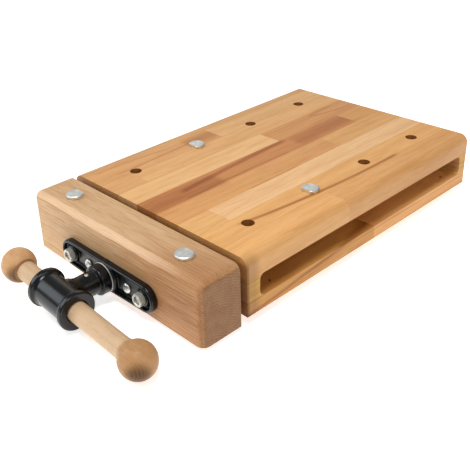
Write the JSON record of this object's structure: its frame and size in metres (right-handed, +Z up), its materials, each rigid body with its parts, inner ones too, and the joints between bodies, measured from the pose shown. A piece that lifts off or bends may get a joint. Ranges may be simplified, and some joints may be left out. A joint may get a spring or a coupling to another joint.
{
  "type": "bookbinding press",
  "caption": "Bench-top clamping press: laminated beech bed with side pockets and dog holes, and a beech jaw drawn by a screw with a wooden bar handle between two guide rods.",
  "frame": {"origin": "centre of the overall box, on the bench surface", "axes": "+X from the handle towards the far end of the bed, +Y across the bed to its far long side, +Z up"},
  "size_m": [0.7456, 0.386, 0.1103],
  "materials": {
    "beech": "oiled laminated beech staves, long grain along X",
    "jaw_beech": "oiled solid beech, grain along Y",
    "handle_beech": "turned and lacquered beech",
    "cast_iron": "glossy black paint",
    "zinc": "bright zinc plate",
    "steel": "ground, lightly oiled",
    "spring_steel": "tempered strip",
    "bushing": "moulded, satin",
    "rubber": "matt black"
  },
  "bodies": {
    "bed": {"bed_block": "beech", "screw_nut": "steel", "nut_screw_near": "zinc", "nut_screw_far": "zinc", "guide_bush_near": "bushing", "guide_bush_far": "bushing", "foot_front_near": "rubber", "foot_screw_front_near": "zinc", "foot_front_far": "rubber", "foot_screw_front_far": "zinc", "foot_back_near": "rubber", "foot_screw_back_near": "zinc", "foot_back_far": "rubber", "foot_screw_back_far": "zinc"},
    "jaw": {"jaw_block": "jaw_beech", "jaw_flange": "cast_iron", "flange_screw_near": "zinc", "flange_screw_far": "zinc", "guide_rod_near": "steel", "guide_rod_far": "steel", "rod_washer_near": "zinc", "rod_washer_far": "zinc", "rod_nut_near": "zinc", "rod_nut_far": "zinc", "thrust_washer": "zinc"},
    "screw": {"lead_screw": "steel", "retaining_clip": "spring_steel", "screw_head": "cast_iron", "head_pin": "zinc"},
    "handle": {"handle_bar": "handle_beech", "handle_ball": "handle_beech"},
    "bed_dog_near": {"bed_dog_near": "zinc", "bed_dog_near_spring": "spring_steel"},
    "bed_dog_far": {"bed_dog_far": "zinc", "bed_dog_far_spring": "spring_steel"},
    "jaw_dog_near": {"jaw_dog_near": "zinc", "jaw_dog_near_spring": "spring_steel"},
    "jaw_dog_far": {"jaw_dog_far": "zinc", "jaw_dog_far_spring": "spring_steel"}
  },
  "joints": [
    {"name": "jaw_slide", "type": "slide", "parent": "bed", "child": "jaw", "axis": [-1, 0, 0], "range_m": [-0.0121, 0.15]},
    {"name": "screw_spin", "type": "hinge", "parent": "jaw", "child": "screw", "pos_m": [-0.27725, 0, 0.037], "axis": [-1, 0, 0], "range_deg": [-730, 9010]},
    {"name": "handle_slide", "type": "slide", "parent": "screw", "child": "handle", "axis": [0, 0.9983, 0.0576], "range_m": [-0.05, 0.099]},
    {"name": "bed_dog_near_lift", "type": "slide", "parent": "bed", "child": "bed_dog_near", "axis": [0, 0, 1], "range_m": [0, 0.025]},
    {"name": "bed_dog_far_lift", "type": "slide", "parent": "bed", "child": "bed_dog_far", "axis": [0, 0, 1], "range_m": [0, 0.025]},
    {"name": "jaw_dog_near_lift", "type": "slide", "parent": "jaw", "child": "jaw_dog_near", "axis": [0, 0, 1], "range_m": [0, 0.025]},
    {"name": "jaw_dog_far_lift", "type": "slide", "parent": "jaw", "child": "jaw_dog_far", "axis": [0, 0, 1], "range_m": [0, 0.025]}
  ],
  "couplings": [
    {"joint": "screw_spin", "follows": "jaw_slide", "rad_per_m": 1047.2}
  ]
}
